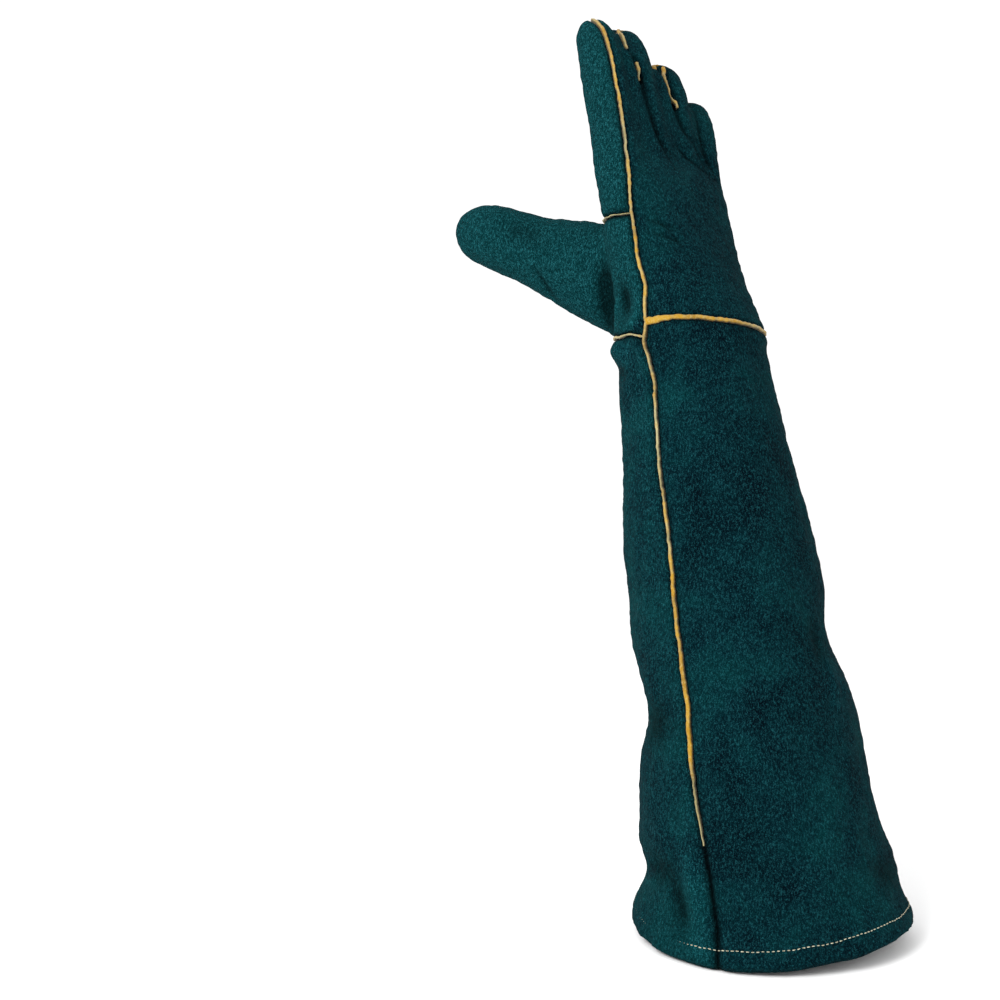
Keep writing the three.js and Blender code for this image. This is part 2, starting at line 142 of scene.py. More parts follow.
# length, width, sideways fan, palmward curl, and how far the tip leans to the front, as a
# share of the depth that it loses
FINGERS = [
    (110, 28.5, -0.1, 0.06, 0.05), (111, 28, -0.09, 0.04, 0.65), (92, 27, -0.135, 0.05, 0.6),
    (68, 24, -0.17, 0.08, 0.4),
]
KNUCKLE_SPAN = sum(finger[1] for finger in FINGERS) + 3 * FINGER_GAP
# share of the finger's length, width and depth
FINGER_SECTIONS = np.array([
    (-0.3, 0.84, 0.84), (0.0, 1.0, 1.0), (0.35, 0.99, 0.98), (0.68, 0.98, 0.95), (0.85, 0.9, 0.84),
    (0.94, 0.7, 0.64), (0.985, 0.42, 0.38), (1.0, 0.14, 0.13),
])
# share of the thumb's length, width, reach above and below its axis
THUMB_SECTIONS = np.array([
    (0.0, 1.1, 0.42, 0.54), (0.15, 1.14, 0.4, 0.54), (0.3, 1.12, 0.37, 0.48), (0.45, 1.08, 0.33, 0.405),
    (0.58, 1.04, 0.285, 0.35), (0.7, 1.02, 0.28, 0.32), (0.82, 1.0, 0.28, 0.295), (0.91, 0.86, 0.24, 0.26),
    (0.965, 0.62, 0.17, 0.19), (0.992, 0.36, 0.1, 0.11), (1.0, 0.12, 0.035, 0.035),
])


def along(table, column, share):
    """A value on a smooth curve through a table's rows."""
    x = table[:, 0]
    y = table[:, column]
    slope = np.empty(len(x))
    slope[1:-1] = (y[2:] - y[:-2]) / (x[2:] - x[:-2])
    slope[0] = (y[1] - y[0]) / (x[1] - x[0])
    slope[-1] = (y[-1] - y[-2]) / (x[-1] - x[-2])
    i = np.clip(np.searchsorted(x, share, side="right"), 1, len(x) - 1)
    run = x[i] - x[i - 1]
    t = np.clip((share - x[i - 1]) / run, 0, 1)
    start = (1 + 2 * t) * (1 - t) ** 2 * y[i - 1] + t * (1 - t) ** 2 * run * slope[i - 1]
    return start + t * t * (3 - 2 * t) * y[i] + t * t * (t - 1) * run * slope[i]


def place(x, y, z):
    """From the glove's own cross section at a height to the frame, in millimetres."""
    x, y, z = np.broadcast_arrays(x, y, np.asarray(z, float))
    bend = along(CUFF, 2, np.clip(z / CUFF_LENGTH, 0, 1))
    share = (z - CUFF_LENGTH) / PALM_LENGTH
    up = np.clip(share, 0, 1)
    shift = np.where(share > 1, share, along(HAND, 4, up))
    shift = np.where(share > 0, shift, 0)
    turn = -HAND_TURN * along(HAND, 5, up)
    middle_x = WRIST_SIDE_SHIFT * bend + HAND_SIDE_SHIFT * shift
    middle_y = -WRIST_PALM_SHIFT * bend - HAND_PALM_SHIFT * shift
    return np.stack([
        middle_x + x * np.cos(turn) - y * np.sin(turn),
        middle_y + x * np.sin(turn) + y * np.cos(turn),
        z,
    ], -1)


def skin(angle, z):
    """Points of cuff and palm at angles from the thumb side towards the back."""
    angle, z = np.broadcast_arrays(angle, np.asarray(z, float))
    share = z / CUFF_LENGTH
    flare = along(CUFF, 1, np.clip(share, 0, 1))
    hand = np.clip((z - CUFF_LENGTH) / PALM_LENGTH, 0, HAND[-1, 0])
    is_cuff = z <= CUFF_LENGTH
    wide = np.where(is_cuff, WRIST_WIDTH + (HEM_WIDTH - WRIST_WIDTH) * flare,
                    WRIST_WIDTH + (KNUCKLE_SPAN - WRIST_WIDTH) * along(HAND, 1, hand))
    deep = np.where(is_cuff, WRIST_DEPTH + (HEM_DEPTH - WRIST_DEPTH) * flare,
                    WRIST_DEPTH + (PALM_DEPTH - WRIST_DEPTH) * along(HAND, 2, hand))
    corner = 1 + (KNUCKLE_CORNER - 1) * along(HAND, 3, hand)
    fold = np.zeros_like(z)
    for height, tall, around, reach, depth in CUFF_FOLDS:
        up = (share - height) / tall
        turn = ((np.degrees(angle) - around + 540) % 360 - 180) / reach
        fold = fold + depth * WRIST_WIDTH * np.exp(-up * up - turn * turn)
    cos = np.sign(np.cos(angle)) * np.abs(np.cos(angle)) ** corner
    sin = np.sign(np.sin(angle)) * np.abs(np.sin(angle)) ** corner
    return place((wide / 2 + fold) * cos, (deep / 2 + fold) * sin, z)


def closed_loft(loops):
    """Vertices and faces of a closed form through loops of equal length."""
    rows, columns = loops.shape[:2]
    index = np.arange(rows * columns).reshape(rows, columns)
    after = np.roll(index, -1, axis=1)
    sides = np.stack([index[:-1], after[:-1], after[1:], index[1:]], -1).reshape(-1, 4)
    faces = [tuple(index[0][::-1])] + [tuple(face) for face in sides.tolist()] + [tuple(index[-1])]
    return loops.reshape(-1, 3), faces


def ellipse(sides):
    """Angles of the points round a section."""
    return 2 * np.pi * (np.arange(sides) + 0.5) / sides


def to_tip(start, neck, grid):
    """Shares up to 1: even steps as far as the neck, then closer and closer ones."""
    even, closing, _ = grid
    return np.concatenate([
        np.linspace(start, neck, even),
        neck + (1 - neck) * np.sin(np.linspace(0.1, np.pi / 2, closing)),
    ])


def together(forms):
    """Points and faces of several forms as one mesh."""
    points = []
    faces = []
    first = 0
    for form_points, form_faces in forms:
        points.append(form_points)
        faces += [tuple(first + i for i in face) for face in form_faces]
        first += len(form_points)
    return np.concatenate(points), faces


# how far the cuff's form runs on past the arm opening and into the fingers
OVERLAP = 14
# how far above the wrist the palm's rows begin
PALM_START = 4
CUFF_ROWS = 110
PALM_ROWS = 34
CUFF_SIDES = 120
heights = np.concatenate([
    np.linspace(-OVERLAP, CUFF_LENGTH, CUFF_ROWS),
    np.linspace(CUFF_LENGTH + PALM_START, KNUCKLES + OVERLAP, PALM_ROWS),
])
forms = [closed_loft(skin(ellipse(CUFF_SIDES)[None, :], heights[:, None]))]

# where a finger starts and where it begins to close, as shares of its length, and its numbers
# of even rows, closing rows and points round it
FINGER_START = -0.3
FINGER_NECK = 0.85
FINGER_GRID = (30, 14, 36)
edge = KNUCKLE_SPAN / 2
for length, width, fan, curl, tip_lean in FINGERS:
    middle = edge - width / 2
    edge -= width + FINGER_GAP
    share = to_tip(FINGER_START, FINGER_NECK, FINGER_GRID)
    way = np.maximum(share, 0)
    half_wide = width * along(FINGER_SECTIONS, 1, share) / 2
    half_deep = FINGER_DEPTH * width / FINGERS[0][1] * along(FINGER_SECTIONS, 2, share) / 2
    lean = tip_lean * np.where(share > 0.5, half_deep.max() - half_deep, 0)
    ring = ellipse(FINGER_GRID[2])[None, :]
    x = (middle + fan * length * way)[:, None] + half_wide[:, None] * np.cos(ring)
    y = (-curl * length * way ** 2 - lean)[:, None] + half_deep[:, None] * np.sin(ring)
    forms.append(closed_loft(place(x, y, (KNUCKLES + share * length)[:, None])))

# The leather spans the fingers' backs, so only shallow valleys show between them there. What
# fills a valley is this wide to each side and starts this far above the knuckles.
WEB_HALF = 10.5
WEB_START = -25
# its top, as a share of the length of the finger on its little-finger side
WEB_TOPS = (0.92, 0.9, 0.9)
# how far it lies to the back and how deep it is to each side, in half depths of that finger
WEB_MIDDLE = 0.32
WEB_DEEP = 0.5
# from which shares of its height its rows close up and its section thins
WEB_NECK = 0.8
WEB_THINS = 0.7
WEB_GRID = (24, 10, 24)
edge = KNUCKLE_SPAN / 2
for finger, other, web_top in zip(FINGERS, FINGERS[1:], WEB_TOPS):
    edge -= finger[1]
    middle = edge - FINGER_GAP / 2
    edge -= FINGER_GAP
    top = other[0] * web_top
    depth = FINGER_DEPTH * other[1] / FINGERS[0][1] / 2
    z = top * to_tip(WEB_START / top, WEB_NECK, WEB_GRID)
    closed = np.clip((z / top - WEB_THINS) / (1 - WEB_THINS), 0, 1)
    thin = np.sqrt(np.clip(1 - closed ** 2, 0.02, 1))[:, None]
    way = np.maximum(z, 0)
    ring = ellipse(WEB_GRID[2])[None, :]
    x = (middle + (finger[2] + other[2]) / 2 * way)[:, None] + WEB_HALF * thin * np.cos(ring)
    y = (-other[3] * way ** 2 / other[0])[:, None] + depth * (WEB_MIDDLE + WEB_DEEP * thin * np.sin(ring))
    forms.append(closed_loft(place(x, y, (KNUCKLES + z)[:, None])))

THUMB_NECK = 0.88
THUMB_GRID = (40, 14, 40)
thumb_root = place(THUMB_ROOT[0], THUMB_ROOT[1], CUFF_LENGTH + THUMB_ROOT[2])
thumb_axis = np.array([
    np.sin(THUMB_SWING) * np.cos(THUMB_RISE),
    -np.cos(THUMB_SWING) * np.cos(THUMB_RISE),
    np.sin(THUMB_RISE),
])
thumb_side = np.array([np.cos(THUMB_SWING), np.sin(THUMB_SWING), 0])
thumb_up = np.cross(thumb_axis, thumb_side)
share = to_tip(0, THUMB_NECK, THUMB_GRID)
ring = ellipse(THUMB_GRID[2])
above = along(THUMB_SECTIONS, 2, share)[:, None]
below = along(THUMB_SECTIONS, 3, share)[:, None]
reach = THUMB_BASE_HEIGHT * np.where(ring[None, :] < np.pi, above, below)
half_width = THUMB_TIP_WIDTH * along(THUMB_SECTIONS, 1, share)[:, None] / 2
loops = (thumb_root + (share * THUMB_LENGTH)[:, None, None] * thumb_axis
         + (half_width * np.cos(ring))[..., None] * thumb_side
         + (reach * np.sin(ring))[..., None] * thumb_up)
forms.append(closed_loft(loops))

points, faces = together(forms)
form_mesh = bpy.data.meshes.new("form")
form_mesh.from_pydata((points * MM).tolist(), [], faces)
form_object = bpy.data.objects.new("form", form_mesh)
bpy.context.scene.collection.objects.link(form_object)
remesh = form_object.modifiers.new("union", "REMESH")
remesh.mode = "VOXEL"
remesh.voxel_size = VOXEL * MM
joined = form_object.evaluated_get(bpy.context.evaluated_depsgraph_get()).to_mesh()
co = np.empty(len(joined.vertices) * 3)
joined.vertices.foreach_get("co", co)
co = co.reshape(-1, 3) / MM
quads = np.empty(len(joined.polygons) * 4, int)
joined.polygons.foreach_get("vertices", quads)
quads = quads.reshape(-1, 4)
bpy.data.objects.remove(form_object)


def sides_of(faces):
    """The two ends of each side of some four-cornered faces."""
    sides = [faces[:, [0, 1]], faces[:, [1, 2]], faces[:, [2, 3]], faces[:, [3, 0]]]
    return np.sort(np.concatenate(sides), 1)


links = np.unique(sides_of(quads), axis=0)
valence = np.bincount(links.ravel(), minlength=len(co))[:, None]


def relax(values, amount, rounds):
    """Evens out values over neighbouring vertices."""
    for _ in range(rounds):
        total = np.zeros_like(values)
        for axis in range(values.shape[1]):
            total[:, axis] = (np.bincount(links[:, 0], values[links[:, 1], axis], len(values))
                              + np.bincount(links[:, 1], values[links[:, 0], axis], len(values)))
        values = values + amount * (total / valence - values)
    return values


def unit(vectors):
    """The same directions with length 1."""
    return vectors / (np.linalg.norm(vectors, axis=1, keepdims=True) + 1e-12)


def vertex_normals(values):
    """Unit normals of the quad mesh at its vertices."""
    across = np.cross(values[quads[:, 2]] - values[quads[:, 0]], values[quads[:, 3]] - values[quads[:, 1]])
    total = np.zeros_like(values)
    for corner in range(4):
        for axis in range(3):
            total[:, axis] += np.bincount(quads[:, corner], across[:, axis], len(values))
    return unit(total)


# The roots of the thumb and the fingers are rounded more than the rest. Middle and half width
# of each zone, along the thumb and above the knuckles, and the heights that bound the thumb's.
THUMB_ZONE = (22, 30)
THUMB_ZONE_HEIGHTS = (375, 495)
FINGER_ZONE = (12, 26)
ZONE_FADE = 20
ZONE_ROUNDS = 10

co = relax(co, 0.5, 5)
out_on_thumb = (co - thumb_root) @ thumb_axis
at_thumb_root = np.exp(-((out_on_thumb - THUMB_ZONE[0]) / THUMB_ZONE[1]) ** 2)
at_thumb_root *= np.clip((THUMB_ZONE_HEIGHTS[1] - co[:, 2]) / ZONE_FADE, 0, 1)
at_thumb_root *= np.clip((co[:, 2] - THUMB_ZONE_HEIGHTS[0]) / ZONE_FADE, 0, 1)
at_finger_roots = np.exp(-((co[:, 2] - KNUCKLES - FINGER_ZONE[0]) / FINGER_ZONE[1]) ** 2)
rounded = np.maximum(at_thumb_root, at_finger_roots)[:, None]
for _ in range(ZONE_ROUNDS):
    co = co + rounded * (relax(co, 0.5, 9) - co)


# Cut lines
# Each panel is cut from one hide and ends where a seam joins it to the next one. The form is
# shared out among the six panels, and its points beside a seam are drawn onto the seam.
PANELS = ["cuff_back_panel", "cuff_palm_panel", "hand_back_panel", "palm_panel", "thumb_panel",
          "middle_ring_front_panel"]
WELTS = ["cuff_welt", "hand_outline_welt", "wrist_back_welt", "wrist_palm_welt", "thumb_welt",
         "crotch_welt", "finger_base_welt"]


def node_tree(nodes):
    """One search tree over some nodes, and each polygon's node number."""
    points, polygons, owner = [], [], []
    for number, node in enumerate(nodes):
        data = frame["nodes"][node].data
        first = len(points)
        points += [vertex.co / MM for vertex in data.vertices]
        polygons += [[first + i for i in polygon.vertices] for polygon in data.polygons]
        owner += [number] * len(data.polygons)
    return BVHTree.FromPolygons(points, polygons), np.array(owner)


panel_tree, panel_owner = node_tree(PANELS)
panel_trees = [node_tree([node])[0] for node in PANELS]
welt_tree, welt_owner = node_tree(WELTS)

centres = co[quads].mean(1)
label = np.array([panel_owner[panel_tree.find_nearest(Vector(point))[2]] for point in centres])


def hem_edge(around):
    """Height of the arm opening's slanting edge, at angles from the thumb side."""
    return HEM_RISE * np.sin(around) ** 2 + HEM_TILT * (1 - np.cos(around))


def above_edge(height, edge):
    """Height above the arm opening's edge, before the cuff takes its slant."""
    return (height - edge) / (1 - edge / CUFF_LENGTH)


level = above_edge(co[:, 2], hem_edge(np.arctan2(co[:, 1], co[:, 0])))
kept = level[quads].min(1) > -VOXEL / 2
quads, label = quads[kept], label[kept]
# A face at the cut edge that shares fewer than three of its sides goes too
LOOSE_ROUNDS = 4
for _ in range(LOOSE_ROUNDS):
    sides = np.sort(np.stack([quads, np.roll(quads, -1, axis=1)], -1), -1)
    _, which, shared = np.unique(sides.reshape(-1, 2), axis=0, return_inverse=True, return_counts=True)
    held = (shared[which.ravel()].reshape(-1, 4) > 1).sum(1) > 2
    quads, label = quads[held], label[held]

# Sides that two faces share are listed in pairs, and single ones make the arm opening's edge
ends = sides_of(quads)
face_of = np.tile(np.arange(len(quads)), 4)
key = ends[:, 0] * len(co) + ends[:, 1]
sort = np.argsort(key, kind="stable")
key, face_of, ends = key[sort], face_of[sort], ends[sort]
pair = np.flatnonzero(key[1:] == key[:-1])
single = np.ones(len(key), bool)
single[pair] = single[pair + 1] = False
rim_edges = ends[single]
rim = np.unique(rim_edges)

# Each face joins the panel that most of its neighbours are in, which straightens the seams
VOTE_ROUNDS = 3
OWN_VOTE = 1.5
for _ in range(VOTE_ROUNDS):
    votes = np.zeros((len(quads), len(PANELS)))
    np.add.at(votes, (face_of[pair], label[face_of[pair + 1]]), 1)
    np.add.at(votes, (face_of[pair + 1], label[face_of[pair]]), 1)
    votes[np.arange(len(quads)), label] += OWN_VOTE
    label = votes.argmax(1)
first_face, second_face = face_of[pair], face_of[pair + 1]
is_seam = label[first_face] != label[second_face]
seam_edges = ends[pair[is_seam]]
seam_sides = np.sort(np.stack([label[first_face[is_seam]], label[second_face[is_seam]]], 1), 1)

# Points on a seam move onto the middle of the gap between the two panels' edges
NARROWEST_GAP = 0.05
WIDEST_GAP = 12
for (a, b), (one, other) in zip(seam_edges, seam_sides):
    for i in (a, b):
        here = Vector(co[i])
        near = panel_trees[one].find_nearest(here)[0]
        far = panel_trees[other].find_nearest(here)[0]
        apart = far - near
        if NARROWEST_GAP < apart.length < WIDEST_GAP:
            way = apart.normalized()
            shift = (here - (near + far) / 2).dot(way)
            co[i] -= np.clip(shift, -VOXEL, VOXEL) * np.array(way)

# shorter stretches between two panels are strays, not seams
SHORTEST_SEAM = 6


def ways(edges):
    """The longest run of points along each connected set of edges, as vertex numbers."""
    near = {}
    for a, b in edges.tolist():
        near.setdefault(a, []).append(b)
        near.setdefault(b, []).append(a)

    def walk(start):
        best = {start: 0.0}
        before = {}
        queue = [(0.0, start)]
        while queue:
            length, i = heapq.heappop(queue)
            if length > best[i]:
                continue
            for j in near[i]:
                reach = length + np.linalg.norm(co[i] - co[j])
                if reach < best.get(j, np.inf):
                    best[j] = reach
                    before[j] = i
                    heapq.heappush(queue, (reach, j))
        end = max(best, key=best.get)
        return end, best, before

    runs = []
    left = set(near)
    while left:
        end, reached, _ = walk(min(left))
        left -= set(reached)
        last, lengths, before = walk(end)
        run = [last]
        while run[-1] != end:
            run.append(before[run[-1]])
        if lengths[last] > SHORTEST_SEAM:
            runs.append(run)
    return runs


def evened(line, step, softness):
    """A line resampled at even steps and softened, with its ends kept."""
    run = np.concatenate([[0], np.cumsum(np.linalg.norm(np.diff(line, axis=0), axis=1))])
    count = max(int(run[-1] / step), 4) + 1
    at = np.linspace(0, run[-1], count)
    line = np.stack([np.interp(at, run, line[:, axis]) for axis in range(3)], -1)
    for _ in range(int((softness / step) ** 2 * 2)):
        line[1:-1] += 0.5 * ((line[:-2] + line[2:]) / 2 - line[1:-1])
    return line


# distance between points along a seam, and within what distance a seam holds a solid's welt
STEP = 0.6
WELT_NEAR = 5
# which welt lies between two panels, numbered as above
BETWEEN = {
    (0, 2): "wrist_back_welt", (0, 4): "hand_outline_welt", (1, 2): "hand_outline_welt",
    (1, 3): "wrist_palm_welt", (1, 4): "wrist_palm_welt", (2, 3): "hand_outline_welt",
    (2, 4): "hand_outline_welt", (2, 5): "hand_outline_welt",
}
seam_name = []
for point, sides in zip(co[seam_edges].mean(1), seam_sides.tolist()):
    hit = welt_tree.find_nearest(Vector(point))
    nearest = WELTS[welt_owner[hit[2]]] if hit[3] < WELT_NEAR else "plain_seam"
    seam_name.append(BETWEEN.get(tuple(sides), nearest))
seam_name = np.array(seam_name)
seam_lines = {}
for name in WELTS + ["plain_seam"]:
    seam_lines[name] = [evened(co[run], STEP, 2.5) for run in ways(seam_edges[seam_name == name])]
form_tree = BVHTree.FromPolygons(co.tolist(), quads.tolist())


def on_form(point):
    """The nearest point on the form."""
    return np.array(form_tree.find_nearest(Vector(point))[0])


# The thumb-side seam was sewn by hand and eye: by height, how far it strays, in a direction
# that points to the back
STRAY = np.array([
    (60, 0), (120, -1.0), (150, 0.6), (200, -0.8), (262, 1.2), (300, -0.6), (352, 1.0),
    (366, -1.0), (379, -4.6), (392, -1.8), (406, 0.2), (417, 2.0), (430, -0.6), (470, -0.8),
    (520, 0.5), (575, 0), (592, -2.0), (601, -5.0), (612, -9.0),
])
STRAY_WAY = np.array((-0.35, 0.94, 0))
# the outline's welt runs from the little-finger side, and its thumb side starts at this share
THUMB_SIDE = 0.6
for name in ("cuff_welt", "hand_outline_welt"):
    for line in seam_lines[name]:
        for number, point in enumerate(line):
            if point[0] > 0 and (name == "cuff_welt" or number > len(line) * THUMB_SIDE):
                stray = np.interp(point[2], STRAY[:, 0], STRAY[:, 1])
                line[number] = on_form(point + stray * STRAY_WAY)

# Over each fingertip the seam passes on the front side: how far to the front, how far along
# the seam that reaches, how far apart two tips are at least, and how high above the knuckles
TIP_SHIFT = 8
TIP_REACH = 8
TIP_APART = int(24 / STEP)
TIP_HEIGHT = 30
outline = max(seam_lines["hand_outline_welt"], key=len)
forward = np.zeros(len(outline))
for number in range(TIP_APART, len(outline) - TIP_APART):
    height = outline[number, 2]
    beside = outline[number - TIP_APART:number + TIP_APART + 1, 2]
    if height > KNUCKLES + TIP_HEIGHT and height == beside.max():
        away = (np.arange(len(outline)) - number) * STEP / TIP_REACH
        forward = np.maximum(forward, TIP_SHIFT * np.exp(-away * away))
for number, shift in enumerate(forward):
    if shift > 0.01:
        outline[number] = on_form(outline[number] - np.array((0, shift, 0)))

# The wrist seam of the palm side ends below that of the back, along these points, and the
# wrist seam of the back dips a little before it meets the thumb-side seam
PALM_END_FROM = 34
PALM_END = [(40.3, -90.5, 385.4), (45.2, -82.7, 385.6), (48.1, -75.6, 385.8), (49.7, -69.6, 385.1),
            (50.4, -64.2, 383.6), (50.6, -60.1, 382.5)]
BACK_DIP = np.array((0, -1.0, -2.0))
BACK_DIP_FROM = 44
BACK_DIP_FADE = 6
palm_line = seam_lines["wrist_palm_welt"][0]
palm_line = palm_line if palm_line[0, 0] < 0 else palm_line[::-1]
before_end = palm_line[palm_line[:, 0] < PALM_END_FROM]
seam_lines["wrist_palm_welt"] = [evened(np.concatenate([before_end, PALM_END]), STEP, 2.0)]
for line in seam_lines["wrist_back_welt"]:
    for number, point in enumerate(line):
        if point[0] > 0:
            near = np.clip((point[0] - BACK_DIP_FROM) / BACK_DIP_FADE, 0, 1)
            line[number] = on_form(point + BACK_DIP * near)

# Stretches of the outline's welt that show where two fingers' backs part below their tips
SHOWN_AT_TIPS = [
    [(4.6, -113.3, 604.7), (10, -108.5, 601.5), (13.1, -105.3, 598.5), (14.9, -102.3, 594.6),
     (14.6, -98.2, 588.2)],
    [(9.9, -94.2, 578.8), (10, -92.5, 574.3), (9.8, -90.9, 569.9), (10.5, -89.6, 565.3)],
    [(-29.3, -99.9, 585.8), (-24.2, -94.7, 579.2), (-22.6, -91.1, 573.1), (-21.4, -87.8, 565.8),
     (-20.8, -84.9, 558.8), (-20.7, -82.4, 551.9)],
]
for line in SHOWN_AT_TIPS:
    seam_lines["hand_outline_welt"].append(evened(np.array(line, float), STEP, 1.5))

# How far the thumb's welt lies in from the thumb's outline, by share of its length from the
# wrist, where it starts on the wrist seam of the palm side
THUMB_WELT_INWARD = [(0, 9), (0.3, 8), (0.5, 5), (0.8, 4), (1, 0)]
thumb_line = seam_lines["thumb_welt"][0]
thumb_line = thumb_line if thumb_line[0, 2] < thumb_line[-1, 2] else thumb_line[::-1]
inward = np.interp(np.linspace(0, 1, len(thumb_line)), *np.transpose(THUMB_WELT_INWARD))
thumb_line = np.array([on_form(point - shift * thumb_side) for point, shift in zip(thumb_line, inward)])
wrist_line = seam_lines["wrist_palm_welt"][0]
meets = wrist_line[np.linalg.norm(wrist_line - thumb_line[0], axis=1).argmin()]
seam_lines["thumb_welt"] = [evened(np.concatenate([[meets], thumb_line]), STEP, 1.5)]


# Relief of the leather
# Thick split leather doesn't lie smooth. It swells and sinks in broad waves, creases where
# the hand bends, and is drawn down to every seam in small puckers.

# smooth bumps: size and depth in millimetres, and the seed of their places
WAVES = [(62, 1.5, 0), (27, 0.7, 1), (11, 0.28, 2)]
PUCKERS = [(7.0, 0.35, 11)]
NAP_BUMPS = [(5.5, 0.22, 51), (3.3, 0.22, 52)]
EDGE_WAVES = [(17, 0.5, 21)]
# the bumps' lattice of random values, which starts below the glove, and what brings the smooth
# values between them up to the full range
LATTICE = 24
LATTICE_START = 300
GAIN = 1.6
# the waves are calmer by this share on the hand, from this far below the wrist on and fully so
# after this length, and they are calmer within this distance of a seam
HAND_CALM = 0.55
HAND_EARLY = 20
HAND_FADE = 60
SEAM_CALM = 12
PUCKER_REACH = 6
# at a seam the leather sinks into a groove, only this share as deep near a seam without a
# welt, and it rolls up at a distance from the seam
GROOVE_DEPTH = 2.4
GROOVE_HALF = 2.1
PLAIN_SEAM = 0.6
PLAIN_NEAR = 8
ROLL = 0.55
ROLL_AWAY = 5.5
ROLL_HALF = 3


def ripple(points, size, seed):
    """Smooth noise, mostly between -1 and 1, with bumps of a given size."""
    values = np.random.default_rng(seed).random((LATTICE, LATTICE, LATTICE)) * 2 - 1
    at = (points + LATTICE_START) / size
    cell = np.floor(at).astype(int)
    t = at - cell
    t = t * t * (3 - 2 * t)
    total = 0
    for corner in range(8):
        bits = np.array([corner & 1, corner >> 1 & 1, corner >> 2 & 1])
        weight = np.prod(np.where(bits, t, 1 - t), -1)
        total = total + weight * values[tuple(((cell + bits) % LATTICE).T)]
    return total * GAIN


def ripples(points, bumps):
    """Several kinds of bumps, each with its size, depth and seed, added up."""
    return sum(depth * ripple(points, size, seed) for size, depth, seed in bumps)


def point_tree(points):
    """A search tree over some points."""
    tree = KDTree(len(points))
    for number, point in enumerate(points):
        tree.insert(point, number)
    tree.balance()
    return tree


# Creases and dents: depth (a bulge is negative), half width, then their line on the leather
MARKS = [
    # valleys between the fingers' backs
    (2.6, 2.4, (14.5, -100, 591.4), (11.9, -95.2, 581.3), (10, -90.8, 569.1), (11, -84.4, 549.7),
     (10.6, -79.1, 531.7), (6.9, -74.4, 515.9), (2.3, -67.9, 502)),
    (2.6, 2.4, (-26.9, -97.4, 583.2), (-22.9, -90.4, 572.3), (-20.7, -84.1, 556.5), (-19.2, -80.6, 545),
     (-22, -76.4, 532.5), (-33.2, -74.4, 522.1), (-38.8, -69.1, 508.1)),
    (2.4, 2.2, (-50.3, -88.9, 555.2), (-47.5, -83.7, 549.3), (-43.5, -76.9, 531.5), (-43.7, -70.6, 512.8),
     (-46.2, -66.5, 503.3)),
    # slanting creases at the fingers' roots
    (2.4, 1.7, (-8, -76.2, 526), (-11.2, -75.4, 519.5), (-17.6, -71.5, 513.1), (-28.5, -69, 508.4),
     (-39.7, -66.4, 503.6), (-47.1, -65.4, 500.5)),
    (1.4, 1.6, (11.1, -78.7, 529.5), (8.2, -75.9, 521.4), (2.3, -74.3, 515.4), (-4, -72.2, 509.4)),
    (1.4, 1.6, (-28.3, -76.8, 537), (-36.7, -76.7, 528.8), (-41.8, -73.5, 520), (-45.8, -69.5, 510.8)),
    # fine wrinkles on the back of the hand, beside the seam
    (1.5, 1.4, (44.8, -65.8, 461.4), (38.5, -60, 458.9), (30.7, -55.2, 456.7), (22.3, -51.4, 454.8)),
    (1.6, 1.4, (44.1, -61.6, 451.8), (39.3, -57.1, 450.5), (33, -52, 447.4), (23, -47.8, 446.9)),
    (1.3, 1.4, (35.3, -58.3, 459.1), (30.4, -53.8, 454), (27.5, -49.5, 447.2), (27, -45.3, 438.9)),
    (1.2, 1.5, (46.4, -62.4, 444), (40, -55.1, 440.9), (30.7, -49, 437.4)),
    # dents and the standing strips between them, where the thumb leaves the hand
    (5.2, 6.5, (37.5, -103.1, 434.1), (36.5, -102.3, 422), (34.7, -102.9, 412.7), (31.3, -104.8, 402.4),
     (25.3, -108.6, 393.7)),
    (3.4, 5.5, (48.2, -80.1, 417.5), (48, -78.7, 407.5), (47.1, -79.4, 399.7)),
    (-1.6, 3.2, (50.2, -64.1, 407), (49.9, -67.6, 399.6), (49.1, -71.5, 393.5), (47.1, -77.9, 389)),
    (-1.8, 3.0, (43.6, -88.1, 411.3), (40.2, -92.1, 401.6), (36.5, -95.1, 393.7)),
    # crease and shallow dent of the thumb
    (2.0, 2.4, (44.8, -159.1, 440), (40.1, -153.2, 428), (33.8, -148.5, 417.6)),
    (1.2, 9, (49.4, -181.9, 472.8), (46.6, -165.6, 465.9), (44.3, -149.2, 458.4)),
    # fold of the cuff under the wrist seam
    (-3.6, 6, (33.6, -97.5, 376.4), (41.6, -90.5, 375.9), (47.3, -79.5, 373.3)),
    (1.6, 5, (29.7, -99.2, 363.2), (35.7, -94.2, 363.2), (46.3, -80.5, 360.2)),
    # waist and notches of the cuff, and the fold that runs into its lower seam
    (2.0, 14, (57.6, -55.3, 134.2), (67.8, -41.8, 135.7), (71.9, -29.8, 138.7)),
    (1.6, 9, (68.3, -45.5, 44.4), (78.3, -29.2, 48.1), (81.2, -18.3, 53.1)),
    (-2.8, 6, (89.1, 4, 9.8), (85.9, 1.3, 25.2), (83.4, -2.4, 41.9), (81.7, -9.1, 57.2)),
    (2.2, 7, (87.3, -10.1, 17.1), (84.3, -13.4, 30.9), (81, -21.5, 43.9)),
    (1.8, 9, (-32.2, 71.6, 40.3), (-14.6, 73.5, 45.6), (3.1, 73.1, 48)),
    (-2.0, 14, (-16.4, 42.4, 155.2), (-0.6, 42.6, 160.7)),
    (1.6, 16, (-7.5, 33.5, 187.1), (6.9, 34.5, 188.3)),
]

# how far a mark reaches, in half widths, how deep it is at its ends, and how fast it deepens
MARK_REACH = 3
MARK_END = 0.35
MARK_DEEPENS = 2.2

